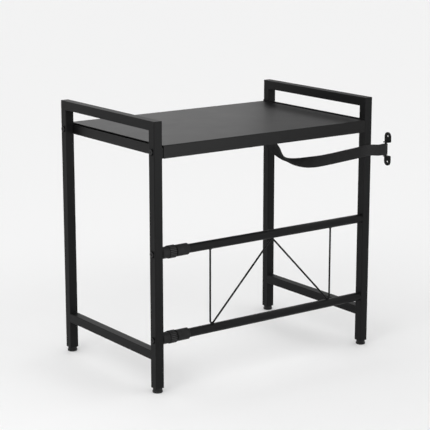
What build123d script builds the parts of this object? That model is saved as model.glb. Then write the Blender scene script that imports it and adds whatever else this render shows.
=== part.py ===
from build123d import *
import math
import os

# Shelf whose width can be set: two square-tube side frames joined by a sliding sheet top and by two
# telescopic rods. Millimetres. The origin is on the floor under the middle of the closed shelf, +X points
# to the right frame, -Y to the side with the rods and +Z up.

# Overall sizes with the rods pushed together
overall_width = 580.0
overall_depth = 365.0
overall_height = 570.0
shelf_drop = 50.0

# Clearances and cuts
cut_overrun = 2.0
running_clearance = 0.05
slip_clearance = 0.3
screw_clearance = 0.2

# Square tube of the side frames
tube_side = 20.0
tube_wall = 1.2
tube_corner = 1.6
lower_rail_height = 70.0

# Sheet trays of the top
sheet = 1.2
bend_radius = 1.0
upper_lip_height = 27.0
raised_edge_height = 3.0
upper_tray_end_gap = 3.4
lower_tray_tab_gap = 22.0
lower_lip_height = 23.2
lower_flange_height = 19.3
nest_gap = 2.4
nest_side_clearance = 0.6
glide_clearance = 0.2
glide_width = 12.0
glide_spacing = 240.0
glide_end_margin = 10.0

# Telescopic rods
upper_rod_height = 296.0
lower_rod_height = 114.0
outer_rod_diameter = 19.0
rod_wall = 1.2
inner_rod_end_gap = 50.0
rod_plug_length = 20.0
guide_flange_length = 6.0
guide_shank_length = 12.0

# Twist locks, as lengths along the rod
lock_leg_gap = 0.6
neck_length = 15.9
grip_length = 17.3
lock_seam = 2.0
collar_length = 30.4
spigot_length = 13.0
spigot_lip = 1.5
collet_length = 12.5

# Twist locks, as walls and steps across the rod
spigot_wall = 1.3
collar_step = 1.45
grip_wall = 2.7
collet_tip_wall = 1.0
collet_base_step = 0.3
lock_cone_clearance = 0.5
lock_edge_chamfer = 0.8
grip_groove_diameter = 2.0
grip_groove_depth = 0.6
grip_groove_count = 22
collet_slot_width = 1.2
collet_slot_length = 9.0
collet_slot_count = 4

# Bracing wire between the outer rods
wire_diameter = 4.0
wire_left_gap = 58.8
wire_right_gap = 87.0
wire_bend_radius = 5.0
wire_weld_depth = 0.3

# Button-head screws, weld nuts
screw_diameter = 6.0
screw_head_diameter = 14.0
screw_head_height = 2.4
screw_head_round = 1.7
screw_socket_across = 4.0
screw_socket_depth = 1.5
screw_nut_overhang = 1.0
rod_screw_grip = 12.0
tray_screw_drop = 12.5
nut_across = 10.0
nut_height = 5.0

# Levelling feet
foot_height = 10.0
foot_pad_height = 5.2
foot_pad_diameter = 21.5
foot_pad_chamfer = 1.0
foot_groove_height = 1.2
foot_groove_diameter = 17.5
foot_ring_diameter = 19.6
foot_stud_diameter = 8.0
foot_stud_length = 22.0
foot_insert_length = 25.0

# Webbing strap against tipping, its tab under the top and its wall bracket
strap_width = 25.0
strap_thickness = 1.6
strap_tab_width = 30.0
strap_tab_depth = 16.0
strap_tab_margin = 12.0
strap_tab_sheet = 2.0
strap_screw_diameter = 5.0
strap_screw_from_end = 12.0
strap_washer_diameter = 14.0
strap_washer_height = 2.0
strap_nut_across = 8.0
strap_nut_height = 4.0
bracket_wall_gap = 50.0
bracket_strap_clearance = 2.5
bracket_ear_width = 20.0
bracket_ear_height = 23.0
bracket_ear_corner = 3.0
bracket_sheet = 2.0
bracket_tab_width = 12.0
bracket_bar_diameter = 5.0
bracket_bar_standoff = 7.0
bracket_hole_diameter = 4.6
bracket_hole_from_end = 9.0

# Middle line of the strap from its tab to the wall bracket, measured from the outer near edge of the right
# near leg at the height of the shelf's top, with the way the strap's width points at each place
strap_route = [
    ((-251.0, 84.5, -14.0), (0.70, 0.0, 0.70)),
    ((-232.0, 84.5, -32.0), (0.70, 0.0, 0.70)),
    ((-213.0, 84.5, -50.0), (0.70, 0.0, 0.70)),
    ((-200.5, 83.7, -62.0), (0.70, 0.10, 0.68)),
    ((-189.0, 82.3, -73.0), (0.68, 0.50, 0.55)),
    ((-178.5, 80.2, -81.5), (0.55, 0.88, 0.10)),
    ((-166.0, 76.5, -87.0), (0.25, 0.85, 0.36)),
    ((-150.0, 70.5, -89.5), (0.10, 0.45, 0.85)),
    ((-129.0, 62.0, -90.0), (0.0, 0.08, 1.0)),
    ((-106.0, 51.0, -87.5), (0.0, 0.0, 1.0)),
    ((-82.0, 38.5, -84.0), (0.0, 0.0, 1.0)),
    ((-59.0, 24.5, -79.5), (0.0, 0.0, 1.0)),
    ((-38.0, 8.5, -73.5), (0.0, 0.0, 1.0)),
    ((-22.0, -1.9, -68.5), (0.0, 0.0, 1.0)),
    ((-2.0, -2.3, -68.0), (0.0, 0.0, 1.0)),
    ((19.0, -1.3, -71.4), (0.0, 0.0, 1.0)),
    ((39.2, -0.5, -71.5), (0.0, 0.0, 1.0)),
]

# Places worked out from the sizes above
left, right = -1, 1
near, far = -1, 1
shelf_height = overall_height - shelf_drop
outer_face = overall_width / 2
inner_face = outer_face - tube_side
leg_x = outer_face - tube_side / 2
leg_y = overall_depth / 2 - tube_side / 2
rod_y = near * leg_y
tube_bore = tube_side - 2 * tube_wall
tray_screw_height = shelf_height - tray_screw_drop
upper_tray_underside = shelf_height - sheet
lower_tray_top = upper_tray_underside - nest_gap
lower_tray_depth = overall_depth - 2 * (sheet + nest_side_clearance)
outer_rod_bore = outer_rod_diameter - 2 * rod_wall
inner_rod_diameter = outer_rod_bore - 2 * slip_clearance
inner_rod_bore = inner_rod_diameter - 2 * rod_wall
inner_rod_length = 2 * inner_face - inner_rod_end_gap
spigot_diameter = outer_rod_diameter + 2 * spigot_wall
collar_diameter = spigot_diameter + 2 * collar_step
thread_bore_radius = spigot_diameter / 2 + 2 * running_clearance
grip_radius = thread_bore_radius + grip_wall
collet_tip_radius = inner_rod_diameter / 2 + collet_tip_wall
collet_base_radius = spigot_diameter / 2 - collet_base_step
screw_hole_radius = screw_diameter / 2 + screw_clearance
thread_radius = screw_diameter / 2 + running_clearance
neck_start = lock_leg_gap - inner_face
grip_start = neck_start + neck_length
nut_end = grip_start + grip_length
collar_start = nut_end + lock_seam
collar_end = collar_start + collar_length
spigot_start = collar_start - spigot_length
outer_rod_start = spigot_start + spigot_lip
collet_start = spigot_start - collet_length
wire_left = collar_end + wire_left_gap
wire_right = inner_face - wire_right_gap
strap_datum = Vector(outer_face, near * overall_depth / 2, shelf_height)
strap_points = [strap_datum + Vector(*place) for place, across in strap_route]
strap_end = strap_points[-1]
strap_screw_way = (strap_points[1] - strap_points[0]).normalized()
strap_screw_at = strap_points[0] + strap_screw_way * strap_screw_from_end
strap_tab_face = strap_points[0].Y + strap_thickness / 2
strap_tab_height = upper_tray_underside - strap_screw_at.Z + strap_tab_margin
lower_tray_end = strap_screw_at.X - strap_tab_width / 2 - lower_tray_tab_gap
lower_tray_length = lower_tray_end + inner_face
bracket_bar_x = outer_face + bracket_wall_gap - bracket_bar_standoff
bracket_half_gap = strap_width / 2 + bracket_strap_clearance

on_base = (Align.CENTER, Align.CENTER, Align.MIN)
nodes = {}


# Shapes that several pieces share
def rod(radius, length):
    return Rot(0, 90, 0) * Cylinder(radius, length, align=on_base)


def ring(outer_radius, inner_radius, length):
    bore = Pos(-cut_overrun, 0, 0) * rod(inner_radius, length + 2 * cut_overrun)
    return rod(outer_radius, length) - bore


def turned(points):
    return revolve(make_face(Polyline(*points, close=True)), Axis.X)


def square_tube(length):
    outer = RectangleRounded(tube_side, tube_side, tube_corner)
    inner = RectangleRounded(tube_bore, tube_bore, tube_corner - tube_wall)
    return extrude(outer - inner, length)


def tube_along_y(length):
    return Pos(0, -length / 2, 0) * Rot(-90, 0, 0) * square_tube(length)


def screw_hole(x, y, z, length):
    return Pos(x - length / 2, y, z) * rod(screw_hole_radius, length)


def facing(side):
    return Rot(0, 0, 0) if side == left else Rot(0, 0, 180)


# Side frames: two legs, a handle rail mitred onto them and a lower rail
def mitre_wedge(end, above):
    corner_y, corner_z = overall_depth / 2 + cut_overrun, overall_height + cut_overrun
    inner_y, low_z = corner_y - tube_side - 2 * cut_overrun, corner_z - tube_side - 2 * cut_overrun
    spare_corner = (end * inner_y, corner_z) if above else (end * corner_y, low_z)
    triangle = Polygon((end * corner_y, corner_z), (end * inner_y, low_z), spare_corner, align=None)
    return extrude(Plane.YZ * triangle, tube_side, both=True)


def leg(side, end):
    post = Pos(side * leg_x, end * leg_y, foot_height) * square_tube(overall_height - foot_height)
    post -= Pos(side * leg_x, 0, 0) * mitre_wedge(end, above=True)
    rod_heights = [upper_rod_height, lower_rod_height] if end == near else []
    for height in [tray_screw_height] + rod_heights:
        post -= screw_hole(side * leg_x, end * leg_y, height, tube_side + 2 * cut_overrun)
    return post


def handle_rail(side):
    rail = Pos(side * leg_x, 0, overall_height - tube_side / 2) * tube_along_y(overall_depth)
    for end in (near, far):
        rail -= Pos(side * leg_x, 0, 0) * mitre_wedge(end, above=False)
    return rail


def lower_rail(side):
    rail_z = lower_rail_height + tube_side / 2
    return Pos(side * leg_x, 0, rail_z) * tube_along_y(overall_depth - 2 * tube_side)


# Sheet trays: a folded channel with an end flange that is screwed to the legs
def channel(length, depth, height):
    outer = Rectangle(depth, height)
    outer = fillet(outer.vertices().group_by(Axis.Y)[-1], bend_radius + sheet)
    inner = Rectangle(depth - 2 * sheet, height)
    inner = fillet(inner.vertices().group_by(Axis.Y)[-1], bend_radius)
    section = outer - Pos(0, -sheet) * inner
    return Pos(0, 0, -height / 2) * extrude(Plane.YZ * section, length)


def flange_holes(x):
    length = 2 * (sheet + cut_overrun)
    return [screw_hole(x, end * leg_y, tray_screw_height, length) for end in (near, far)]


def upper_tray():
    start = upper_tray_end_gap - inner_face
    tray = Pos(start, 0, shelf_height) * channel(inner_face - start, overall_depth, upper_lip_height)
    flange_height = upper_lip_height + raised_edge_height
    flange_z = shelf_height - upper_lip_height
    tray += Pos(inner_face - sheet / 2, 0, flange_z) * Box(sheet, overall_depth, flange_height, align=on_base)
    return tray - flange_holes(inner_face)


def lower_tray():
    tray = Pos(-inner_face, 0, lower_tray_top) * channel(lower_tray_length, lower_tray_depth, lower_lip_height)
    flange_depth = lower_tray_depth - 2 * sheet
    flange_z = lower_tray_top - sheet - lower_flange_height
    flange = Box(sheet, flange_depth, lower_flange_height, align=on_base)
    tray += Pos(sheet / 2 - inner_face, 0, flange_z) * flange
    return tray - flange_holes(-inner_face)


def tray_glides():
    length = lower_tray_length - 2 * glide_end_margin
    strip = Box(length, glide_width, nest_gap - glide_clearance, align=on_base)
    middle = lower_tray_length / 2 - inner_face
    return [Pos(middle, end * glide_spacing / 2, lower_tray_top) * strip for end in (near, far)]


# Telescopic rods, with a threaded plug at the leg and a bush on the sliding end
def inner_rod(height):
    tube = ring(inner_rod_diameter / 2, inner_rod_bore / 2, inner_rod_length)
    return Pos(-inner_face, rod_y, height) * tube


def outer_rod(height):
    tube = ring(outer_rod_diameter / 2, outer_rod_bore / 2, inner_face - outer_rod_start)
    return Pos(outer_rod_start, rod_y, height) * tube


def rod_plug(side, bore, height):
    plug = ring(bore / 2 - running_clearance, thread_radius, rod_plug_length)
    return Pos(side * inner_face, rod_y, height) * facing(side) * plug


def guide_bush(height):
    shank = Pos(-guide_shank_length, 0, 0) * rod(inner_rod_bore / 2 - running_clearance, guide_shank_length)
    flange = rod(outer_rod_bore / 2 - running_clearance, guide_flange_length)
    return Pos(inner_rod_length - inner_face, rod_y, height) * (shank + flange)


# Twist locks: a collar on the outer rod, a split collet and the nut that closes it
def collar(height):
    body, spigot = collar_diameter / 2, spigot_diameter / 2
    seat = outer_rod_diameter / 2 + running_clearance
    lip = inner_rod_diameter / 2 + slip_clearance
    outline = [
        (spigot_start, lip),
        (spigot_start, spigot),
        (collar_start, spigot),
        (collar_start, body - lock_edge_chamfer),
        (collar_start + lock_edge_chamfer, body),
        (collar_end - lock_edge_chamfer, body),
        (collar_end, body - lock_edge_chamfer),
        (collar_end, seat),
        (outer_rod_start, seat),
        (outer_rod_start, lip),
    ]
    return Pos(0, rod_y, height) * turned(outline)


def collet(height):
    bore = inner_rod_diameter / 2 + running_clearance
    outline = [
        (collet_start, bore),
        (collet_start, collet_tip_radius),
        (spigot_start, collet_base_radius),
        (spigot_start, bore),
    ]
    cone = turned(outline)
    slot = Box(collet_slot_length, collet_slot_width, 2 * collet_base_radius)
    slot = Pos(collet_start + collet_slot_length / 2, 0, collet_base_radius) * slot
    for turn in range(collet_slot_count):
        cone -= Rot(360 / collet_slot_count * turn, 0, 0) * slot
    return Pos(0, rod_y, height) * cone


def lock_nut(height):
    neck, grip = collar_diameter / 2, grip_radius
    bore = inner_rod_diameter / 2 + slip_clearance + running_clearance
    cone_tip = collet_tip_radius + lock_cone_clearance
    cone_start = collet_start - lock_cone_clearance
    outline = [
        (neck_start, bore),
        (neck_start, neck - lock_edge_chamfer),
        (neck_start + lock_edge_chamfer, neck),
        (grip_start, neck),
        (grip_start, grip - lock_edge_chamfer),
        (grip_start + lock_edge_chamfer, grip),
        (nut_end - lock_edge_chamfer, grip),
        (nut_end, grip - lock_edge_chamfer),
        (nut_end, thread_bore_radius),
        (spigot_start - lock_cone_clearance, thread_bore_radius),
        (cone_start, cone_tip),
        (cone_start, bore),
    ]
    nut = turned(outline)
    groove_radius = grip_groove_diameter / 2
    groove_offset = grip + groove_radius - grip_groove_depth
    groove = Pos(grip_start - cut_overrun, 0, groove_offset) * rod(groove_radius, grip_length + 2 * cut_overrun)
    for turn in range(grip_groove_count):
        nut -= Rot(360 / grip_groove_count * turn, 0, 0) * groove
    return Pos(0, rod_y, height) * nut


# Bracing wire, bent from one piece and welded to both outer rods
def truss_wire():
    reach = outer_rod_diameter / 2 + wire_diameter / 2 - wire_weld_depth
    low_centre = lower_rod_height + reach + wire_bend_radius
    apex_centre = upper_rod_height - reach - wire_bend_radius
    bend_x = wire_left + wire_bend_radius
    apex_x = (wire_left + wire_right) / 2
    run, rise = apex_x - bend_x, apex_centre - low_centre
    slope = math.atan2(rise, run) + math.asin(2 * wire_bend_radius / math.hypot(run, rise))
    start_x = bend_x + wire_bend_radius * math.sin(slope)
    start_z = low_centre - wire_bend_radius * math.cos(slope)
    corner_z = start_z + (wire_left - start_x) * math.tan(slope)
    peak_z = start_z + (apex_x - start_x) * math.tan(slope)
    corners = [
        (wire_left, rod_y, upper_rod_height),
        (wire_left, rod_y, corner_z),
        (apex_x, rod_y, peak_z),
        (wire_right, rod_y, corner_z),
        (wire_right, rod_y, upper_rod_height),
    ]
    path = FilletPolyline(*corners, radius=wire_bend_radius)
    wire = sweep(Plane(corners[0], z_dir=(0, 0, -1)) * Circle(wire_diameter / 2), path=path)
    for height in (upper_rod_height, lower_rod_height):
        wire -= Pos(outer_rod_start, rod_y, height) * rod(outer_rod_diameter / 2, inner_face - outer_rod_start)
    return wire.solids().sort_by(SortBy.VOLUME)[-1]


# Fasteners: button-head screws from outside the legs, and weld nuts on the tray flanges
def screw(shank_length):
    head = Pos(-screw_head_height, 0, 0) * rod(screw_head_diameter / 2, screw_head_height)
    head = fillet(head.edges().sort_by(Axis.X)[0], screw_head_round)
    hexagon = RegularPolygon(screw_socket_across / 2, 6, major_radius=False)
    socket = Rot(0, 90, 0) * extrude(hexagon, screw_socket_depth + cut_overrun)
    head -= Pos(-screw_head_height - cut_overrun, 0, 0) * socket
    return head + rod(screw_diameter / 2, shank_length)


def tray_screws(side):
    bolt = facing(side) * screw(tube_side + sheet + nut_height + screw_nut_overhang)
    return [Pos(side * outer_face, end * leg_y, tray_screw_height) * bolt for end in (near, far)]


def rod_screws(side):
    bolt = facing(side) * screw(tube_side + rod_screw_grip)
    return [Pos(side * outer_face, rod_y, height) * bolt for height in (upper_rod_height, lower_rod_height)]


def tray_nuts(side):
    hexagon = RegularPolygon(nut_across / 2, 6, major_radius=False, rotation=30) - Circle(thread_radius)
    nut = facing(side) * Rot(0, 90, 0) * extrude(hexagon, nut_height)
    return [Pos(side * (inner_face - sheet), end * leg_y, tray_screw_height) * nut for end in (near, far)]


# Levelling feet: a plug in the end of each leg and a foot on a threaded stud
def foot_inserts(side):
    plug_side = tube_bore - 2 * running_clearance
    block = RectangleRounded(plug_side, plug_side, tube_corner - tube_wall)
    plug = extrude(block - Circle(foot_stud_diameter / 2 + running_clearance), foot_insert_length)
    return [Pos(side * leg_x, end * leg_y, foot_height) * plug for end in (near, far)]


def foot(side, end):
    ring_start = foot_pad_height + foot_groove_height
    pad = Cylinder(foot_pad_diameter / 2, foot_pad_height, align=on_base)
    pad = chamfer(pad.edges().filter_by(GeomType.CIRCLE), foot_pad_chamfer)
    groove = Cylinder(foot_groove_diameter / 2, foot_groove_height, align=on_base)
    upper_ring = Cylinder(foot_ring_diameter / 2, foot_height - ring_start, align=on_base)
    stud = Cylinder(foot_stud_diameter / 2, foot_stud_length, align=on_base)
    body = pad + Pos(0, 0, foot_pad_height) * groove + Pos(0, 0, ring_start) * upper_ring
    return Pos(side * leg_x, end * leg_y, 0) * (body + Pos(0, 0, foot_height) * stud)


# Webbing strap: a flat band screwed to a tab under the top, with a sewn loop on the wall bracket's bar
def strap_frame(index):
    before = strap_points[max(index - 1, 0)]
    after = strap_points[min(index + 1, len(strap_points) - 1)]
    along = (after - before).normalized()
    across = Vector(*strap_route[index][1])
    across = across - along * across.dot(along)
    return Plane(strap_points[index], x_dir=across, z_dir=along)


def rod_to_far(radius, length):
    return Rot(-90, 0, 0) * Cylinder(radius, length, align=on_base)


def strap():
    sections = [strap_frame(index) * Rectangle(strap_width, strap_thickness) for index in range(len(strap_points))]
    band = loft(sections, ruled=True)
    hole_radius = strap_screw_diameter / 2 + screw_clearance
    hole_start = strap_tab_face - strap_thickness - cut_overrun
    hole = rod_to_far(hole_radius, strap_thickness + 2 * cut_overrun)
    band -= Pos(strap_screw_at.X, hole_start, strap_screw_at.Z) * hole
    loop_radius = bracket_bar_diameter / 2 + slip_clearance
    loop = Circle(loop_radius + strap_thickness) - Circle(loop_radius)
    return band + Pos(bracket_bar_x, strap_end.Y, strap_end.Z) * extrude(loop, strap_width / 2, both=True)


def strap_tab():
    face = Box(strap_tab_width, strap_tab_sheet, strap_tab_height, align=(Align.CENTER, Align.MIN, Align.MAX))
    seat = Box(strap_tab_width, strap_tab_depth, strap_tab_sheet, align=(Align.CENTER, Align.MIN, Align.MAX))
    tab = Pos(strap_screw_at.X, strap_tab_face, upper_tray_underside) * (face + seat)
    hole = rod_to_far(strap_screw_diameter / 2 + screw_clearance, strap_tab_sheet + 2 * cut_overrun)
    return tab - Pos(strap_screw_at.X, strap_tab_face - cut_overrun, strap_screw_at.Z) * hole


def strap_screw():
    washer_back = strap_tab_face - strap_thickness
    shank_length = strap_thickness + strap_tab_sheet + strap_nut_height + screw_nut_overhang
    head = Pos(0, -strap_washer_height, 0) * rod_to_far(strap_washer_diameter / 2, strap_washer_height)
    shank = rod_to_far(strap_screw_diameter / 2, shank_length)
    return Pos(strap_screw_at.X, washer_back, strap_screw_at.Z) * (head + shank)


def strap_nut():
    hexagon = RegularPolygon(strap_nut_across / 2, 6, major_radius=False)
    hexagon -= Circle(strap_screw_diameter / 2 + running_clearance)
    nut = Rot(-90, 0, 0) * extrude(hexagon, strap_nut_height)
    return Pos(strap_screw_at.X, strap_tab_face + strap_tab_sheet, strap_screw_at.Z) * nut


def bracket_ear():
    round_end = bracket_ear_width / 2
    body_height = bracket_ear_height - round_end
    body = Pos(0, body_height / 2) * Rectangle(bracket_ear_width, body_height)
    body = fillet(body.vertices().group_by(Axis.Y)[0], bracket_ear_corner)
    hole = Pos(0, bracket_ear_height - bracket_hole_from_end) * Circle(bracket_hole_diameter / 2)
    ear = body + Pos(0, body_height) * Circle(round_end) - hole
    return Pos(bracket_bar_standoff, 0, bracket_half_gap) * extrude(Plane.YZ * ear, -bracket_sheet)


def wall_bracket():
    bar_radius = bracket_bar_diameter / 2
    tab_reach = bracket_bar_standoff + bar_radius
    tab = Box(tab_reach, bracket_tab_width, bracket_sheet, align=(Align.MIN, Align.CENTER, Align.MIN))
    end_half = bracket_ear() + Pos(-bar_radius, 0, bracket_half_gap) * tab
    bar = extrude(Circle(bar_radius), bracket_half_gap, both=True)
    bracket = bar + end_half + Rot(180, 0, 0) * end_half
    return Pos(bracket_bar_x, strap_end.Y, strap_end.Z) * bracket


# Every piece under its name
for side, side_name in ((left, "left"), (right, "right")):
    nodes[f"{side_name}_near_leg"] = leg(side, near)
    nodes[f"{side_name}_far_leg"] = leg(side, far)
    nodes[f"{side_name}_handle_rail"] = handle_rail(side)
    nodes[f"{side_name}_lower_rail"] = lower_rail(side)
    nodes[f"{side_name}_tray_screws"] = tray_screws(side)
    nodes[f"{side_name}_tray_nuts"] = tray_nuts(side)
    nodes[f"{side_name}_rod_screws"] = rod_screws(side)
    nodes[f"{side_name}_foot_inserts"] = foot_inserts(side)
    nodes[f"near_{side_name}_foot"] = foot(side, near)
    nodes[f"far_{side_name}_foot"] = foot(side, far)

for rod_name, rod_height in (("upper", upper_rod_height), ("lower", lower_rod_height)):
    nodes[f"{rod_name}_inner_rod"] = inner_rod(rod_height)
    nodes[f"{rod_name}_outer_rod"] = outer_rod(rod_height)
    nodes[f"{rod_name}_guide_bush"] = guide_bush(rod_height)
    nodes[f"{rod_name}_left_plug"] = rod_plug(left, inner_rod_bore, rod_height)
    nodes[f"{rod_name}_right_plug"] = rod_plug(right, outer_rod_bore, rod_height)
    nodes[f"{rod_name}_collar"] = collar(rod_height)
    nodes[f"{rod_name}_collet"] = collet(rod_height)
    nodes[f"{rod_name}_lock_nut"] = lock_nut(rod_height)

nodes["upper_tray"] = upper_tray()
nodes["lower_tray"] = lower_tray()
nodes["tray_glides"] = tray_glides()
nodes["truss_wire"] = truss_wire()
nodes["strap"] = strap()
nodes["strap_tab"] = strap_tab()
nodes["strap_screw"] = strap_screw()
nodes["strap_nut"] = strap_nut()
nodes["wall_bracket"] = wall_bracket()

os.makedirs("parts", exist_ok=True)
for name, piece in nodes.items():
    solid = Compound(piece) if isinstance(piece, list) else piece
    export_step(solid, f"parts/{name}.step")

strap_length = sum((b - a).length for a, b in zip(strap_points, strap_points[1:]))
print("strap length", strap_length, "volume", nodes["strap"].volume)
print("plain band volume", strap_length * strap_width * strap_thickness)
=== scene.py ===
import math

import bmesh
import bpy
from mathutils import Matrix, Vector


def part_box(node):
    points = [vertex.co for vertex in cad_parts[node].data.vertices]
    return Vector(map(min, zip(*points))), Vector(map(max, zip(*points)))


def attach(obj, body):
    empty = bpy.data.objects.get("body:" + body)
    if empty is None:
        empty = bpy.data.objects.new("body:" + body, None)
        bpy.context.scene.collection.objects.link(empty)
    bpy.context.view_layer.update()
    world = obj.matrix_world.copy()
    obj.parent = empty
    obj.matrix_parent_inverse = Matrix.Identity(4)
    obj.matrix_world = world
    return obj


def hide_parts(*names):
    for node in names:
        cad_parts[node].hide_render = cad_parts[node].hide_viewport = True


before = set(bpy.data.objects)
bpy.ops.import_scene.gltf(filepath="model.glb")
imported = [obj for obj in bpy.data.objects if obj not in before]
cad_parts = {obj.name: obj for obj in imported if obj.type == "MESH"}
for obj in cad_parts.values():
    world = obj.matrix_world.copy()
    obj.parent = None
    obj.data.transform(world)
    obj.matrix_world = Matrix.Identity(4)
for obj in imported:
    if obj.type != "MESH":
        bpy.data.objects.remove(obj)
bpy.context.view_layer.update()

# Side frames: two legs, a mitred handle rail and a lower rail on each side.
# Square steel tube, cut, welded, ground at the mitres and powder coated satin black,
# which leaves a fine orange peel and rubs a little paler along the rounded edges.
mm = 0.001
sides = ("left", "right")
frame_black = (0.0065, 0.0066, 0.0068, 1)
frame_black_worn = (0.020, 0.020, 0.0205, 1)
frame_rough = 0.46
frame_peel_size, frame_peel_depth = 2.6 * mm, 0.05 * mm
frame_edge_wear = 0.25
coat_shine = 0.10
coat_cloud_size, coat_grain_size, coat_rub_size = 55 * mm, 0.9 * mm, 7 * mm
noise_low, noise_high = 0.3, 0.7
grain_low, grain_high = 0.35, 0.65
rub_low, rub_high = 0.42, 0.66
cloud_tone = 0.12
grain_tone_low, grain_tone_high = -0.04, 0.05
cloud_sheen = 0.012
rub_sheen = -0.10
peel_strength, grain_strength = 0.35, 0.25
grain_depth_share = 1 / 3
flat_facing, rounded_facing = 0.97, 0.80


def new_finish(name):
    finish = bpy.data.materials.new(name)
    finish.use_nodes = True
    return finish.node_tree, finish.node_tree.nodes["Principled BSDF"], finish


def node(tree, kind, sockets, **settings):
    made = tree.nodes.new("ShaderNode" + kind)
    for setting, value in settings.items():
        setattr(made, setting, value)
    for socket, value in sockets.items():
        if isinstance(value, bpy.types.NodeSocket):
            tree.links.new(value, made.inputs[socket])
        else:
            made.inputs[socket].default_value = value
    return made.outputs[0]


def place_on_piece(tree):
    return tree.nodes.new("ShaderNodeTexCoord").outputs["Object"]


def speckle(tree, place, size, detail=2.0):
    return node(tree, "TexNoise", {"Vector": place, "Scale": 1 / size, "Detail": detail})


def spread(tree, value, low, high, to_low, to_high, **settings):
    sockets = {"Value": value, "From Min": low, "From Max": high, "To Min": to_low, "To Max": to_high}
    return node(tree, "MapRange", sockets, **settings)


def blended(tree, share, first, second):
    return node(tree, "MixRGB", {"Fac": share, "Color1": first, "Color2": second})


def times(tree, first, second):
    return node(tree, "Math", {0: first, 1: second}, operation="MULTIPLY")


def plus(tree, first, second):
    return node(tree, "Math", {0: first, 1: second}, operation="ADD")


def dented(tree, height, depth, strength, below=None):
    sockets = {"Height": height, "Distance": depth, "Strength": strength}
    if below:
        sockets["Normal"] = below
    return node(tree, "Bump", sockets)


def rounded_edges(tree):
    facing = tree.nodes.new("ShaderNodeTexCoord").outputs["Normal"]
    facing = node(tree, "VectorMath", {0: facing}, operation="ABSOLUTE")
    split = tree.nodes.new("ShaderNodeSeparateXYZ")
    tree.links.new(facing, split.inputs[0])
    flattest = node(tree, "Math", {0: split.outputs["X"], 1: split.outputs["Y"]}, operation="MAXIMUM")
    flattest = node(tree, "Math", {0: flattest, 1: split.outputs["Z"]}, operation="MAXIMUM")
    return spread(tree, flattest, flat_facing, rounded_facing, 0.0, 1.0)


def powder_coat(name, black, worn, rough, shine, peel_size, peel_depth, edge_wear):
    tree, paint, finish = new_finish(name)
    place = place_on_piece(tree)
    cloud = speckle(tree, place, coat_cloud_size, detail=4.0)
    grain = speckle(tree, place, coat_grain_size)
    peel = speckle(tree, place, peel_size)
    rubs = speckle(tree, place, coat_rub_size, detail=5.0)
    rubbed = spread(tree, rubs, rub_low, rub_high, 0.0, edge_wear)
    rubbed = times(tree, rubbed, rounded_edges(tree))
    tone = plus(tree, rubbed, spread(tree, cloud, noise_low, noise_high, 0.0, cloud_tone))
    tone = plus(tree, tone, spread(tree, grain, grain_low, grain_high, grain_tone_low, grain_tone_high))
    tree.links.new(blended(tree, tone, black, worn), paint.inputs["Base Color"])
    sheen = spread(tree, cloud, noise_low, noise_high, rough - cloud_sheen, rough + cloud_sheen)
    sheen = plus(tree, sheen, times(tree, rubbed, rub_sheen))
    tree.links.new(sheen, paint.inputs["Roughness"])
    skin = dented(tree, peel, peel_depth, peel_strength)
    skin = dented(tree, grain, peel_depth * grain_depth_share, grain_strength, skin)
    tree.links.new(skin, paint.inputs["Normal"])
    paint.inputs["Specular IOR Level"].default_value = shine
    return finish


def wears(finish, *names):
    for name in names:
        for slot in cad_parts[name].material_slots:
            slot.material = finish


frame_finish = powder_coat(
    "satin_black_frame",
    frame_black,
    frame_black_worn,
    frame_rough,
    coat_shine,
    frame_peel_size,
    frame_peel_depth,
    frame_edge_wear,
)
for side in sides:
    wears(frame_finish, f"{side}_near_leg", f"{side}_far_leg", f"{side}_handle_rail", f"{side}_lower_rail")

# Frame welds: a small rippled bead in each inside corner, and a low dressed seam where the rails lie flush
# with the legs. Steel wire run along the joint, coated with the tube.
bead_size = 1.7 * mm
bead_ripple = 1.5 * mm
bead_ripple_share = 0.06
bead_steps_per_ripple = 6
bead_steps_across = 7
bead_roundness = 1.5
seam_width = 2.6 * mm
seam_rise = 0.12 * mm
seam_sink = 0.9 * mm
corner_round = 1.6 * mm
merge_distance = 0.001 * mm


def corner_bead(share):
    angle = math.pi / 2 * share
    toward_a, toward_b = math.cos(angle), math.sin(angle)
    reach = bead_size * (toward_a ** bead_roundness + toward_b ** bead_roundness) ** (-1 / bead_roundness)
    return reach * toward_a, reach * toward_b


def dressed_seam(share):
    angle = math.pi * share
    return seam_width / 2 * math.cos(angle), (seam_rise + seam_sink) * math.sin(angle) - seam_sink


def weld_run(corners, faces, start, end, way_a, way_b, shape):
    length = (end - start).length
    steps = round(length / bead_ripple * bead_steps_per_ripple)
    first = len(corners)
    row = bead_steps_across + 1
    for step in range(steps + 1):
        travel = length * step / steps
        to_end = min(travel, length - travel) / bead_size
        swell = math.sqrt(1 - (1 - min(to_end, 1.0)) ** 2)
        for spot in range(row):
            share = spot / bead_steps_across
            lag = bead_size / 2 * math.sin(math.pi * share)
            ripple = 1 + bead_ripple_share * math.cos(2 * math.pi * (travel - lag) / bead_ripple)
            reach_a, reach_b = shape(share)
            outward = way_a * reach_a + way_b * reach_b
            corners.append(start.lerp(end, step / steps) + outward * swell * ripple)
    for step in range(steps):
        for spot in range(row):
            following = (spot + 1) % row
            here, ahead = first + step * row, first + (step + 1) * row
            faces.append((here + spot, ahead + spot, ahead + following, here + following))


def smooth_piece(name, corners, faces, finish, body):
    shape = bpy.data.meshes.new(name)
    shape.from_pydata(corners, [], faces)
    skin = bmesh.new()
    skin.from_mesh(shape)
    bmesh.ops.remove_doubles(skin, verts=skin.verts, dist=merge_distance)
    bmesh.ops.recalc_face_normals(skin, faces=skin.faces)
    for face in skin.faces:
        face.smooth = True
    skin.to_mesh(shape)
    skin.free()
    shape.materials.append(finish)
    piece = bpy.data.objects.new(name, shape)
    bpy.context.collection.objects.link(piece)
    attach(piece, body)


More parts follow.
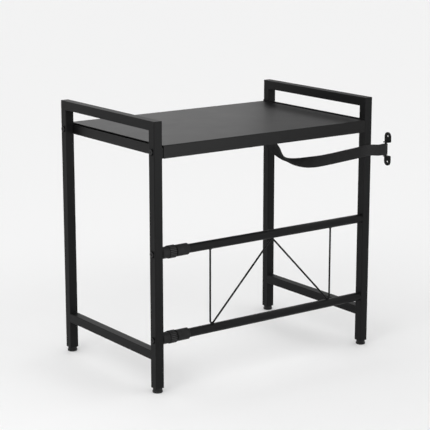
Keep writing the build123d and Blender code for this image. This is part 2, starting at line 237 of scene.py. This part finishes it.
for side in sides:
    corners, faces = [], []
    rail_low, rail_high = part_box(f"{side}_lower_rail")
    handle_rail_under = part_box(f"{side}_handle_rail")[0].z
    x_start, x_end = rail_low.x + corner_round, rail_high.x - corner_round
    z_start, z_end = rail_low.z + corner_round, rail_high.z - corner_round
    for joint_y, inward in ((rail_low.y, 1), (rail_high.y, -1)):
        along_rail = Vector((0, inward, 0))
        for joint_z, up in ((rail_low.z, -1), (rail_high.z, 1), (handle_rail_under, -1)):
            start, end = Vector((x_start, joint_y, joint_z)), Vector((x_end, joint_y, joint_z))
            weld_run(corners, faces, start, end, along_rail, Vector((0, 0, up)), corner_bead)
        for face_x, out in ((rail_low.x, -1), (rail_high.x, 1)):
            start, end = Vector((face_x, joint_y, z_start)), Vector((face_x, joint_y, z_end))
            weld_run(corners, faces, start, end, along_rail, Vector((out, 0, 0)), dressed_seam)
    smooth_piece(f"{side}_frame_welds", corners, faces, frame_finish, f"{side}_frame")

# Top: an outer tray with lips that hang over the near and far sides, on an inner tray that slides under it.
# Folded sheet steel, powder coated smooth matt black, each tray screwed through its end flange to two legs.
# Two slippery strips stuck to the inner tray carry the outer one.
tray_black = (0.0060, 0.0060, 0.0061, 1)
tray_black_worn = (0.017, 0.017, 0.0172, 1)
tray_rough = 0.40
tray_shine = 0.13
tray_peel_size, tray_peel_depth = 1.6 * mm, 0.02 * mm
tray_edge_wear = 0.7
glide_grey = (0.045, 0.045, 0.047, 1)
glide_grey_scuffed = (0.12, 0.12, 0.12, 1)
glide_rough = 0.4
glide_grain_size = 1.2 * mm
plastic_shine = 0.25
flow_size = 18 * mm
flow_low, flow_high = 0.35, 0.7
flow_tone = 0.3
flow_smoother, flow_rougher = 0.05, 0.06
mould_grain_low, mould_grain_high = 0.4, 0.7
mould_grain_tone = 0.2
mould_grain_depth, mould_grain_strength = 0.03 * mm, 0.5


def moulded(name, colour, scuffed, rough, grain_size):
    tree, plastic, finish = new_finish(name)
    place = place_on_piece(tree)
    flow = speckle(tree, place, flow_size, detail=3.0)
    grain = speckle(tree, place, grain_size)
    flow_marks = spread(tree, flow, flow_low, flow_high, 0.0, flow_tone)
    grain_marks = spread(tree, grain, mould_grain_low, mould_grain_high, 0.0, mould_grain_tone)
    tone = plus(tree, flow_marks, grain_marks)
    tree.links.new(blended(tree, tone, colour, scuffed), plastic.inputs["Base Color"])
    sheen = spread(tree, flow, noise_low, noise_high, rough - flow_smoother, rough + flow_rougher)
    tree.links.new(sheen, plastic.inputs["Roughness"])
    skin = dented(tree, grain, mould_grain_depth, mould_grain_strength)
    tree.links.new(skin, plastic.inputs["Normal"])
    plastic.inputs["Specular IOR Level"].default_value = plastic_shine
    return finish


tray_finish = powder_coat(
    "matt_black_tray",
    tray_black,
    tray_black_worn,
    tray_rough,
    tray_shine,
    tray_peel_size,
    tray_peel_depth,
    tray_edge_wear,
)
wears(tray_finish, "upper_tray", "lower_tray")
wears(moulded("glide_strip", glide_grey, glide_grey_scuffed, glide_rough, glide_grain_size), "tray_glides")

# Telescopic rods: the outer tubes are screwed to the right frame and the inner tubes to the left one.
# Round steel tube with the frame's coat. The inner tubes carry faint lengthwise rubs from sliding.
# A threaded steel plug is pressed into each end at a leg, and a plastic bush rides on each hidden end.
rods = ("upper", "lower")
rod_black = (0.0060, 0.0060, 0.0062, 1)
rod_black_worn = (0.016, 0.016, 0.0165, 1)
rod_rough = 0.44
rod_smoother, rod_rougher = 0.04, 0.05
rod_cloud_size = 40 * mm
rod_cloud_tone = 0.2
rod_peel_size, rod_peel_depth = 2.2 * mm, 0.04 * mm
drawn_size, drawn_depth = 0.9 * mm, 0.02 * mm
drawn_lengthwise = 0.02
drawn_low, drawn_high = 0.55, 0.75
drawn_sheen = -0.12
outer_rod_rub, inner_rod_rub = 0.10, 0.55
steel_grey = (0.42, 0.41, 0.40, 1)
steel_grey_dull = (0.25, 0.24, 0.235, 1)
steel_smooth, steel_rough = 0.28, 0.45
cut_size, cut_depth = 4 * mm, 0.02 * mm
cut_lengthwise = 30.0
cut_strength = 0.4
bush_rough = 0.5
bush_grain_size = 0.8 * mm


def stretched(tree, place, lengthwise):
    return node(tree, "VectorMath", {0: place, 1: (lengthwise, 1.0, 1.0)}, operation="MULTIPLY")


def coated_rod(name, rub):
    tree, paint, finish = new_finish(name)
    place = place_on_piece(tree)
    cloud = speckle(tree, place, rod_cloud_size, detail=4.0)
    peel = speckle(tree, place, rod_peel_size)
    drawn = speckle(tree, stretched(tree, place, drawn_lengthwise), drawn_size, detail=3.0)
    rubbed = spread(tree, drawn, drawn_low, drawn_high, 0.0, rub)
    tone = plus(tree, rubbed, spread(tree, cloud, noise_low, noise_high, 0.0, rod_cloud_tone))
    tree.links.new(blended(tree, tone, rod_black, rod_black_worn), paint.inputs["Base Color"])
    sheen = spread(tree, cloud, noise_low, noise_high, rod_rough - rod_smoother, rod_rough + rod_rougher)
    sheen = plus(tree, sheen, times(tree, rubbed, drawn_sheen))
    tree.links.new(sheen, paint.inputs["Roughness"])
    skin = dented(tree, peel, rod_peel_depth, peel_strength)
    tree.links.new(dented(tree, drawn, drawn_depth, rub, skin), paint.inputs["Normal"])
    paint.inputs["Specular IOR Level"].default_value = coat_shine
    return finish


def bare_steel(name):
    tree, metal, finish = new_finish(name)
    metal.inputs["Metallic"].default_value = 1.0
    place = place_on_piece(tree)
    cut = speckle(tree, stretched(tree, place, cut_lengthwise), cut_size, detail=3.0)
    tree.links.new(blended(tree, cut, steel_grey, steel_grey_dull), metal.inputs["Base Color"])
    sheen = spread(tree, cut, noise_low, noise_high, steel_smooth, steel_rough)
    tree.links.new(sheen, metal.inputs["Roughness"])
    tree.links.new(dented(tree, cut, cut_depth, cut_strength), metal.inputs["Normal"])
    return finish


steel_finish = bare_steel("cut_steel")
bush_finish = moulded("grey_nylon", glide_grey, glide_grey_scuffed, bush_rough, bush_grain_size)
wears(coated_rod("outer_rod_coat", outer_rod_rub), "upper_outer_rod", "lower_outer_rod")
wears(coated_rod("inner_rod_coat", inner_rod_rub), "upper_inner_rod", "lower_inner_rod")
for rod in rods:
    wears(steel_finish, f"{rod}_left_plug", f"{rod}_right_plug")
    wears(bush_finish, f"{rod}_guide_bush", f"{rod}_collet")

# Twist locks: a collar on each outer rod and a ribbed nut that closes a split collet on the inner rod.
# Moulded black nylon with a fine spark texture, polished smoother by the hand on the tops of the ribs.
# Rib tops are painted paler as a highlight; the grooves and the nut-collar seam are painted black as shade.
lock_black = (0.0006, 0.0006, 0.0007, 1)
lock_black_pale_and_highlight = (0.042, 0.042, 0.0425, 1)
lock_rough = 0.52
lock_smoother, lock_rougher = 0.03, 0.05
lock_shine = 0.06
lock_groove_depth = 0.6 * mm
lock_seam_shade = 2.4 * mm
sleeve_tone = 0.46
sleeve_patch_low, sleeve_patch_high = 0.8, 1.2
rib_tone_low, rib_tone_high = 0.55, 1.0
rib_patch_low, rib_patch_high = 0.35, 0.6
handled_sheen = -0.12
handled_size = 9 * mm
spark_size, spark_depth = 0.5 * mm, 0.03 * mm
spark_strength = 0.5
across_rod = (0.0, 1.0, 1.0)


def lock_plastic(name, axis_place, seam_x, sleeve_radius, rib_radius):
    tree, plastic, finish = new_finish(name)
    place = place_on_piece(tree)
    offset = node(tree, "VectorMath", {0: place, 1: axis_place}, operation="SUBTRACT")
    offset = node(tree, "VectorMath", {0: offset, 1: across_rod}, operation="MULTIPLY")
    length = tree.nodes.new("ShaderNodeVectorMath")
    length.operation = "LENGTH"
    tree.links.new(offset, length.inputs[0])
    radius = length.outputs["Value"]
    split = tree.nodes.new("ShaderNodeSeparateXYZ")
    tree.links.new(place, split.inputs[0])
    from_seam = node(tree, "Math", {0: split.outputs["X"], 1: seam_x}, operation="SUBTRACT")
    from_seam = node(tree, "Math", {0: from_seam}, operation="ABSOLUTE")
    # Painted shade: the colour is taken to black within lock_seam_shade of the seam between nut and collar.
    outside_seam_shade = spread(tree, from_seam, lock_seam_shade / 2, lock_seam_shade, 0.0, 1.0)
    groove_floor = rib_radius - lock_groove_depth
    # The rib tops are paler, a painted highlight with random handling wear, and the groove floors are black
    # as painted shade.
    rib_top = spread(tree, radius, groove_floor, rib_radius, 0.0, 1.0)
    sleeve = spread(tree, radius, sleeve_radius, groove_floor, sleeve_tone, 0.0)
    spark = speckle(tree, place, spark_size)
    patch = speckle(tree, place, handled_size, detail=3.0)
    rib_patch = spread(tree, patch, rib_patch_low, rib_patch_high, rib_tone_low, rib_tone_high)
    sleeve_patch = spread(tree, patch, noise_low, noise_high, sleeve_patch_low, sleeve_patch_high)
    rib_highlight_and_wear = times(tree, rib_top, rib_patch)
    tone = plus(tree, rib_highlight_and_wear, times(tree, sleeve, sleeve_patch))
    tone = times(tree, tone, outside_seam_shade)
    tree.links.new(blended(tree, tone, lock_black, lock_black_pale_and_highlight), plastic.inputs["Base Color"])
    sheen = spread(tree, patch, noise_low, noise_high, lock_rough - lock_smoother, lock_rough + lock_rougher)
    sheen = plus(tree, sheen, times(tree, rib_highlight_and_wear, handled_sheen))
    tree.links.new(sheen, plastic.inputs["Roughness"])
    tree.links.new(dented(tree, spark, spark_depth, spark_strength), plastic.inputs["Normal"])
    plastic.inputs["Specular IOR Level"].default_value = lock_shine
    return finish


for rod in rods:
    nut_low, nut_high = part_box(f"{rod}_lock_nut")
    collar_low, collar_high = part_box(f"{rod}_collar")
    sleeve_radius = (collar_high.y - collar_low.y) / 2
    rib_radius = (nut_high.y - nut_low.y) / 2
    lock_axis = (nut_low + nut_high) / 2
    lock_finish = lock_plastic(f"{rod}_lock_nylon", lock_axis, nut_high.x, sleeve_radius, rib_radius)
    wears(lock_finish, f"{rod}_collar", f"{rod}_lock_nut")

# Bracing wire: one length of steel wire bent into a peak with two uprights and welded to both outer rods.
# It is coated with the frame.
wire_rub = 0.05
wire_bend = 5 * mm
wire_weld_length = 9 * mm
wire_weld_reach = 1.5
wire_finish = coated_rod("wire_coat", wire_rub)
wears(wire_finish, "truss_wire")
wire_low, wire_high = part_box("truss_wire")
wire_radius = (wire_high.y - wire_low.y) / 2
wire_y = (wire_low.y + wire_high.y) / 2
wire_left, wire_right = wire_low.x + wire_radius, wire_high.x - wire_radius
upper_rod_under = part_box("upper_outer_rod")[0].z
lower_rod_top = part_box("lower_outer_rod")[1].z
touches = [
    ((wire_left + wire_right) / 2, upper_rod_under, -1),
    (wire_left + wire_bend, lower_rod_top, 1),
    (wire_right - wire_bend, lower_rod_top, 1),
]
corners, faces = [], []
for touch_x, touch_z, up in touches:
    start = Vector((touch_x - wire_weld_length / 2, wire_y, touch_z))
    end = Vector((touch_x + wire_weld_length / 2, wire_y, touch_z))
    for out in (-1, 1):
        way_out = Vector((0, out * wire_weld_reach, 0))
        weld_run(corners, faces, start, end, way_out, Vector((0, 0, up)), corner_bead)
for touch_x in (wire_left, wire_right):
    for out in (-1, 1):
        start = Vector((touch_x + out * wire_radius, wire_y - wire_radius, upper_rod_under))
        end = Vector((touch_x + out * wire_radius, wire_y + wire_radius, upper_rod_under))
        weld_run(corners, faces, start, end, Vector((out, 0, 0)), Vector((0, 0, -1)), corner_bead)
smooth_piece("wire_welds", corners, faces, wire_finish, "right_frame")

# Fasteners: button-head screws through the legs, with weld nuts on the tray flanges.
# The screws are turned steel, blackened in oil, with faint tool marks, and the nuts are bare steel.
screw_black_and_rim_shade = (0.0012, 0.0012, 0.0013, 1)
screw_face_rubbed_and_lit = (0.036, 0.036, 0.0365, 1)
screw_shine = 0.05
screw_rough_face, screw_rough_rim = 0.42, 0.85
screw_rim_start = 0.5
screw_patch_size = 3 * mm
screw_patch_low, screw_patch_high = 0.6, 1.0
turning_size, turning_depth = 1.2 * mm, 0.02 * mm
turning_lengthwise = 3.0
turning_strength = 0.4


def blackened_screw(name):
    tree, metal, finish = new_finish(name)
    metal.inputs["Specular IOR Level"].default_value = screw_shine
    place = place_on_piece(tree)
    patch = speckle(tree, place, screw_patch_size, detail=3.0)
    marks = speckle(tree, stretched(tree, place, turning_lengthwise), turning_size, detail=3.0)
    # Painted light: the flat of each head is paler as a lit face, varied by random rubbing, and the rounded
    # rim is painted black as shade.
    rim = rounded_edges(tree)
    face = spread(tree, rim, 0.0, screw_rim_start, 1.0, 0.0)
    rubbed = times(tree, face, spread(tree, patch, noise_low, noise_high, screw_patch_low, screw_patch_high))
    tree.links.new(blended(tree, rubbed, screw_black_and_rim_shade, screw_face_rubbed_and_lit), metal.inputs["Base Color"])
    sheen = spread(tree, rim, 0.0, screw_rim_start, screw_rough_face, screw_rough_rim)
    tree.links.new(sheen, metal.inputs["Roughness"])
    tree.links.new(dented(tree, marks, turning_depth, turning_strength), metal.inputs["Normal"])
    return finish


screw_finish = blackened_screw("blackened_screw")
for side in sides:
    wears(screw_finish, f"{side}_tray_screws", f"{side}_rod_screws")
    wears(steel_finish, f"{side}_tray_nuts")

# Feet: a round pad on a stud that screws into a nylon plug in the leg's end, to level each leg.
# Moulded black plastic, scuffed a little paler all over.
foot_black = (0.0065, 0.0065, 0.0067, 1)
foot_black_scuffed = (0.030, 0.030, 0.030, 1)
foot_rough = 0.5
foot_grain_size = 0.7 * mm
foot_finish = moulded("foot_plastic", foot_black, foot_black_scuffed, foot_rough, foot_grain_size)
for side in sides:
    wears(foot_finish, f"near_{side}_foot", f"far_{side}_foot")
    wears(bush_finish, f"{side}_foot_inserts")

# Strap against tipping: flat woven webbing, screwed through its end to a tab under the top. It hangs in a
# twisted loop, passes in front of the right near leg and is sewn round the wall bracket's bar. Each row of
# its route is a place, from the leg's outer near edge at the top's sheet, and the way its width points.
strap_width = 25 * mm
strap_thick = 1.6 * mm
strap_rib_count = 11
strap_rib_height = 0.10 * mm
strap_steps_across = 66
strap_steps_per_point = 10
strap_line_order = 3
strap_edge_round = 1.1 * mm
tray_rim_height = 3 * mm
webbing_black = (0.0045, 0.0045, 0.0047, 1)
webbing_grey = (0.024, 0.024, 0.0245, 1)
webbing_smooth, webbing_rough = 0.72, 0.9
webbing_patch_size = 14 * mm
webbing_patch_low, webbing_patch_high = 0.8, 1.1
yarn_pitch = 1.15 * mm
yarn_depth, yarn_strength = 0.22 * mm, 0.7
yarn_shine = 0.2
yarn_fuzz = 0.09
yarn_fuzz_rough = 0.5
pick_pitch = 1.9 * mm
pick_low = 0.45
fuzz_size, fuzz_depth = 0.35 * mm, 0.05 * mm
fuzz_strength = 0.4
fuzz_tone_low, fuzz_tone_high = 0.55, 1.0
leg_low, leg_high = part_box("right_near_leg")
tray_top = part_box("upper_tray")[1].z
strap_datum = Vector((leg_high.x, leg_low.y, tray_top - tray_rim_height))
strap_route = [
    ((-0.2510, 0.0845, -0.0140), (0.70, 0.0, 0.70)),
    ((-0.2320, 0.0845, -0.0320), (0.70, 0.0, 0.70)),
    ((-0.2130, 0.0845, -0.0500), (0.70, 0.05, 0.70)),
    ((-0.2000, 0.0837, -0.0625), (0.68, 0.28, 0.67)),
    ((-0.1895, 0.0823, -0.0742), (0.61, 0.70, 0.42)),
    ((-0.1798, 0.0802, -0.0822), (0.47, 0.84, 0.16)),
    ((-0.1665, 0.0765, -0.0880), (0.34, 0.86, 0.42)),
    ((-0.1500, 0.0705, -0.0912), (0.22, 0.70, 0.62)),
    ((-0.1290, 0.0620, -0.0922), (0.06, 0.40, 0.90)),
    ((-0.1060, 0.0510, -0.0902), (0.0, 0.10, 1.0)),
    ((-0.0820, 0.0385, -0.0855), (0.0, 0.0, 1.0)),
    ((-0.0590, 0.0245, -0.0796), (0.0, 0.0, 1.0)),
    ((-0.0380, 0.0085, -0.0735), (0.0, 0.0, 1.0)),
    ((-0.0220, -0.0019, -0.0685), (0.0, 0.0, 1.0)),
    ((-0.0020, -0.0023, -0.0680), (0.0, 0.0, 1.0)),
    ((0.0190, -0.0013, -0.0714), (0.0, 0.0, 1.0)),
    ((0.0392, -0.0005, -0.0715), (0.0, 0.0, 1.0)),
]
sewn_loop = [
    ((0.0280, -0.0018, -0.0715), (0.0, 0.0, 1.0)),
    ((0.0370, -0.0041, -0.0715), (0.0, 0.0, 1.0)),
    ((0.0466, -0.0041, -0.0715), (0.0, 0.0, 1.0)),
    ((0.0466, 0.0031, -0.0715), (0.0, 0.0, 1.0)),
    ((0.0370, 0.0031, -0.0715), (0.0, 0.0, 1.0)),
    ((0.0280, 0.0003, -0.0715), (0.0, 0.0, 1.0)),
    ((0.0190, 0.0006, -0.0714), (0.0, 0.0, 1.0)),
    ((0.0080, 0.0000, -0.0697), (0.0, 0.0, 1.0)),
]


def smooth_line(points):
    line = bpy.data.curves.new("strap_line", "CURVE")
    line.dimensions = "3D"
    line.resolution_u = strap_steps_per_point
    spline = line.splines.new("NURBS")
    spline.points.add(len(points) - 1)
    for spot, point in zip(spline.points, points):
        spot.co = (*point, 1)
    spline.order_u = strap_line_order
    spline.use_endpoint_u = True
    holder = bpy.data.objects.new("strap_line", line)
    bpy.context.collection.objects.link(holder)
    bpy.context.view_layer.update()
    read = bpy.data.meshes.new_from_object(holder)
    spots = [spot.co.copy() for spot in read.vertices]
    bpy.data.objects.remove(holder)
    bpy.data.meshes.remove(read)
    return spots


def band_frames(route):
    middles = [strap_datum + Vector(place) for place, across in route]
    edges = [middle + Vector(across).normalized() for middle, (place, across) in zip(middles, route)]
    middle_line = smooth_line(middles)
    edge_line = smooth_line(edges)
    frames = []
    for index, middle in enumerate(middle_line):
        ahead = middle_line[min(index + 1, len(middle_line) - 1)]
        behind = middle_line[max(index - 1, 0)]
        along = (ahead - behind).normalized()
        across = edge_line[index] - middle
        across = (across - along * across.dot(along)).normalized()
        frames.append((middle, across, across.cross(along)))
    return frames


def webbing_outline():
    outline = []
    for face in (1, -1):
        for step in range(strap_steps_across):
            across = face * strap_width * (step / strap_steps_across - 0.5)
            from_edge = strap_width / 2 - abs(across)
            round_off = min(from_edge / strap_edge_round, 1.0)
            half = strap_thick / 2 * math.sqrt(1 - (1 - round_off) ** 2)
            wave = math.cos(2 * math.pi * strap_rib_count * across / strap_width)
            rib = strap_rib_height * wave * round_off
            outline.append((across, face * (half - strap_rib_height + rib)))
    return outline


def webbing_band(name, frames):
    outline = webbing_outline()
    corners = []
    for middle, across, out in frames:
        corners.extend(middle + across * side + out * lift for side, lift in outline)
    count = len(outline)
    last = (len(frames) - 1) * count
    faces = [tuple(range(count)), tuple(reversed(range(last, last + count)))]
    maps = [[(0.0, 0.0)] * count, [(0.0, 0.0)] * count]
    travel = [0.0]
    for before, after in zip(frames, frames[1:]):
        travel.append(travel[-1] + (after[0] - before[0]).length)
    for ring in range(len(frames) - 1):
        for spot in range(count):
            following = (spot + 1) % count
            spots = [(ring, spot), (ring + 1, spot), (ring + 1, following), (ring, following)]
            faces.append(tuple(row * count + column for row, column in spots))
            maps.append([(outline[column][0], travel[row]) for row, column in spots])
    band = bpy.data.meshes.new(name)
    band.from_pydata(corners, [], faces)
    weave_map = band.uv_layers.new(name="weave")
    for face, places in zip(band.polygons, maps):
        for loop, place in zip(face.loop_indices, places):
            weave_map.data[loop].uv = place
        face.use_smooth = True
    piece = bpy.data.objects.new(name, band)
    bpy.context.collection.objects.link(piece)
    return piece


def webbing(name):
    tree, cloth, finish = new_finish(name)
    weave = tree.nodes.new("ShaderNodeUVMap")
    weave.uv_map = "weave"
    split = tree.nodes.new("ShaderNodeSeparateXYZ")
    tree.links.new(weave.outputs["UV"], split.inputs[0])
    yarn = times(tree, split.outputs["X"], 1 / yarn_pitch)
    number = node(tree, "Math", {0: yarn}, operation="FLOOR")
    yarn_round = node(tree, "Math", {0: times(tree, yarn, math.pi)}, operation="SINE")
    yarn_round = node(tree, "Math", {0: yarn_round}, operation="ABSOLUTE")
    pick = times(tree, split.outputs["Y"], 2 * math.pi / pick_pitch)
    pick = plus(tree, pick, times(tree, number, math.pi))
    pick = node(tree, "Math", {0: pick}, operation="SINE")
    height = times(tree, yarn_round, spread(tree, pick, -1.0, 1.0, pick_low, 1.0))
    fuzz = speckle(tree, place_on_piece(tree), fuzz_size, detail=4.0)
    patch = speckle(tree, place_on_piece(tree), webbing_patch_size, detail=3.0)
    fuzz_tone = spread(tree, fuzz, noise_low, noise_high, fuzz_tone_low, fuzz_tone_high)
    patch_tone = spread(tree, patch, noise_low, noise_high, webbing_patch_low, webbing_patch_high)
    # Painted shade in the weave: the colour follows the yarn height, so the valleys between yarns and picks
    # are black and the crowns paler.
    tone = times(tree, height, fuzz_tone)
    tone = times(tree, tone, patch_tone)
    tree.links.new(blended(tree, tone, webbing_black, webbing_grey), cloth.inputs["Base Color"])
    sheen = spread(tree, fuzz, noise_low, noise_high, webbing_smooth, webbing_rough)
    tree.links.new(sheen, cloth.inputs["Roughness"])
    raised = dented(tree, height, yarn_depth, yarn_strength)
    raised = dented(tree, fuzz, fuzz_depth, fuzz_strength, raised)
    tree.links.new(raised, cloth.inputs["Normal"])
    cloth.inputs["Specular IOR Level"].default_value = yarn_shine
    cloth.inputs["Sheen Weight"].default_value = yarn_fuzz
    cloth.inputs["Sheen Roughness"].default_value = yarn_fuzz_rough
    return finish


strap_frames = band_frames(strap_route[:-1] + sewn_loop)
strap = webbing_band("webbing_strap", strap_frames)
strap.data.materials.append(webbing("black_webbing"))
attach(strap, "right_frame")
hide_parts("strap")
strap_line = smooth_line([strap_datum + Vector(place) for place, across in strap_route])

# Strap sewing: a box with a cross, in black bonded thread, through the strap and its folded-back end.
# Each stitch is a short length of thread that dips into the webbing at both ends.
thread_black = (0.010, 0.010, 0.0105, 1)
thread_pale = (0.030, 0.030, 0.031, 1)
thread_radius = 0.28 * mm
thread_smooth, thread_rough = 0.45, 0.65
twist_size, twist_depth = 0.25 * mm, 0.05 * mm
twist_strength = 0.6
stitch_pitch = 2.8 * mm
stitch_length = 2.3 * mm
stitch_sides = 8
stitch_points = 9
stitch_rise = 1.6
stitch_sink = 0.9
stitch_fullness = 0.4
box_start, box_end = 9.5 * mm, 27.5 * mm
box_half = 9 * mm


def on_band(frames, from_leg, up):
    nearest = min(frames, key=lambda spot: abs(spot[0].x - leg_high.x - from_leg))
    middle, across, inward = nearest
    along = inward.cross(across)
    along_by = (leg_high.x + from_leg - middle.x) / along.x
    return middle + along * along_by + across * up - inward * strap_thick / 2, -inward


def sewn_stitch(corners, faces, start, end, out):
    along = (end - start).normalized()
    side = along.cross(out)
    first = len(corners)
    for point in range(stitch_points):
        share = point / (stitch_points - 1)
        arch = math.sin(math.pi * share)
        middle = start.lerp(end, share) + out * thread_radius * (stitch_rise * arch - stitch_sink)
        radius = thread_radius * max(arch, 0.0) ** stitch_fullness
        for turn in range(stitch_sides):
            angle = 2 * math.pi * turn / stitch_sides
            corners.append(middle + (side * math.cos(angle) + out * math.sin(angle)) * radius)
    for point in range(stitch_points - 1):
        for turn in range(stitch_sides):
            following = (turn + 1) % stitch_sides
            here, ahead = first + point * stitch_sides, first + (point + 1) * stitch_sides
            faces.append((here + turn, here + following, ahead + following, ahead + turn))


def sewn_box(frames, corners, faces):
    seams = [
        ((box_start, -box_half), (box_end, -box_half)),
        ((box_end, -box_half), (box_end, box_half)),
        ((box_end, box_half), (box_start, box_half)),
        ((box_start, box_half), (box_start, -box_half)),
        ((box_start, -box_half), (box_end, box_half)),
        ((box_start, box_half), (box_end, -box_half)),
    ]
    for (x_from, z_from), (x_to, z_to) in seams:
        length = math.hypot(x_to - x_from, z_to - z_from)
        count = round(length / stitch_pitch)
        way_x, way_z = (x_to - x_from) / length, (z_to - z_from) / length
        for stitch in range(count):
            go_in = (stitch + 0.5) * length / count - stitch_length / 2
            come_out = go_in + stitch_length
            start, out = on_band(frames, x_from + way_x * go_in, z_from + way_z * go_in)
            end, out = on_band(frames, x_from + way_x * come_out, z_from + way_z * come_out)
            sewn_stitch(corners, faces, start, end, out)


def twisted_thread(name):
    tree, thread, finish = new_finish(name)
    twist = speckle(tree, place_on_piece(tree), twist_size, detail=3.0)
    tree.links.new(blended(tree, twist, thread_black, thread_pale), thread.inputs["Base Color"])
    sheen = spread(tree, twist, noise_low, noise_high, thread_smooth, thread_rough)
    tree.links.new(sheen, thread.inputs["Roughness"])
    tree.links.new(dented(tree, twist, twist_depth, twist_strength), thread.inputs["Normal"])
    thread.inputs["Specular IOR Level"].default_value = yarn_shine
    return finish


half_way = max(range(len(strap_frames)), key=lambda index: strap_frames[index][0].x)
corners, faces = [], []
sewn_box(strap_frames[:half_way], corners, faces)
sewn_box(strap_frames[half_way:], corners, faces)
smooth_piece("strap_stitches", corners, faces, twisted_thread("bonded_thread"), "right_frame")

# Wall bracket and strap tab: bent steel strip with the frame's coat. The tab is welded under the outer tray.
# The bracket has two drilled ears for screws and a round bar that the strap is sewn round.
wears(frame_finish, "wall_bracket", "strap_tab")
wears(screw_finish, "strap_screw")
wears(steel_finish, "strap_nut")

# Floor: a plain pale studio floor, painted matt.
# It fades evenly into the pale surroundings and keeps the shadow.
floor_reach = 30.0
floor_pale = (0.92, 0.92, 0.92, 1)
floor_rough = 0.9
floor_shine = 0.1
floor_sheet = bpy.data.meshes.new("floor")
floor_corners = [(-floor_reach, -floor_reach, 0), (floor_reach, -floor_reach, 0)]
floor_corners += [(floor_reach, floor_reach, 0), (-floor_reach, floor_reach, 0)]
floor_sheet.from_pydata(floor_corners, [], [(0, 1, 2, 3)])
floor = bpy.data.objects.new("floor", floor_sheet)
bpy.context.collection.objects.link(floor)
floor_paint, floor_finish = new_finish("floor")[1:]
floor_paint.inputs["Base Color"].default_value = floor_pale
floor_paint.inputs["Roughness"].default_value = floor_rough
floor_paint.inputs["Specular IOR Level"].default_value = floor_shine
floor_sheet.materials.append(floor_finish)

# Light: a surround as pale as the floor at the horizon and brightest half way up, like a ring of soft boxes,
# with broad soft lamps on the left, low in front and behind. Heights in the surround run from 0 at the
# horizon to 1 overhead, and the lamps' places and sizes are in metres.
surround_white = (1, 1, 1, 1)
level_glow = 0.89
level_high, gap_low = 0.07, 0.13
gap_glow = 0.10
ring_low, ring_middle, ring_high = 0.22, 0.58, 0.92
ring_glow = 2.1
overhead_glow = 0.25
lamp_spread = math.radians(90)
left_place, left_aim = (-1.5, -0.6, 0.9), (-0.2, 0.0, 0.5)
left_size, left_power = 1.2, 2
front_place, front_aim = (0.45, -1.45, 0.42), (-0.28, -0.17, 0.85)
front_size, front_power = 0.7, 1.3
back_place, back_aim = (0.45, 1.25, 0.85), (0.05, 0.0, 1.05)
back_size, back_power = 1.1, 0.8
scene = bpy.context.scene
scene.view_settings.view_transform = "Standard"
surround = bpy.data.worlds.new("pale_surround")
scene.world = surround
surround.use_nodes = True
sky = surround.node_tree
glow = sky.nodes["Background"]
glow.inputs["Color"].default_value = surround_white
heading = sky.nodes.new("ShaderNodeSeparateXYZ")
sky.links.new(sky.nodes.new("ShaderNodeTexCoord").outputs["Generated"], heading.inputs[0])


def sky_fade(low, high, from_glow, to_glow):
    return spread(sky, heading.outputs["Z"], low, high, from_glow, to_glow, interpolation_type="SMOOTHSTEP")


level = sky_fade(level_high, gap_low, level_glow - gap_glow, 0.0)
rising = sky_fade(ring_low, ring_middle, gap_glow, ring_glow)
falling = sky_fade(ring_middle, ring_high, 1.0, overhead_glow / ring_glow)
sky.links.new(plus(sky, level, times(sky, rising, falling)), glow.inputs["Strength"])


def soft_lamp(name, place, aim, size, power):
    lamp = bpy.data.lights.new(name, "AREA")
    lamp.shape = "DISK"
    lamp.size = size
    lamp.energy = power
    lamp.spread = lamp_spread
    holder = bpy.data.objects.new(name, lamp)
    holder.location = place
    holder.rotation_euler = (Vector(aim) - Vector(place)).to_track_quat("-Z", "Y").to_euler()
    holder.visible_camera = False
    bpy.context.collection.objects.link(holder)


soft_lamp("lamp_left", left_place, left_aim, left_size, left_power)
soft_lamp("lamp_front", front_place, front_aim, front_size, front_power)
soft_lamp("lamp_back", back_place, back_aim, back_size, back_power)

# Camera at the height and angle of the photograph: its place in metres, its angles in degrees,
# and its lens in millimetres.
camera_place = (-1.9049, -2.6098, 1.0461)
camera_dip = 12.869
camera_turn = 36.024
camera_lens = 124.3
camera_sensor = 36.0
camera_data = bpy.data.cameras.new("camera")
camera_data.lens = camera_lens
camera_data.sensor_width = camera_sensor
camera = bpy.data.objects.new("camera", camera_data)
camera.location = camera_place
camera.rotation_euler = (math.radians(90 - camera_dip), 0.0, math.radians(-camera_turn))
bpy.context.collection.objects.link(camera)
scene.camera = camera
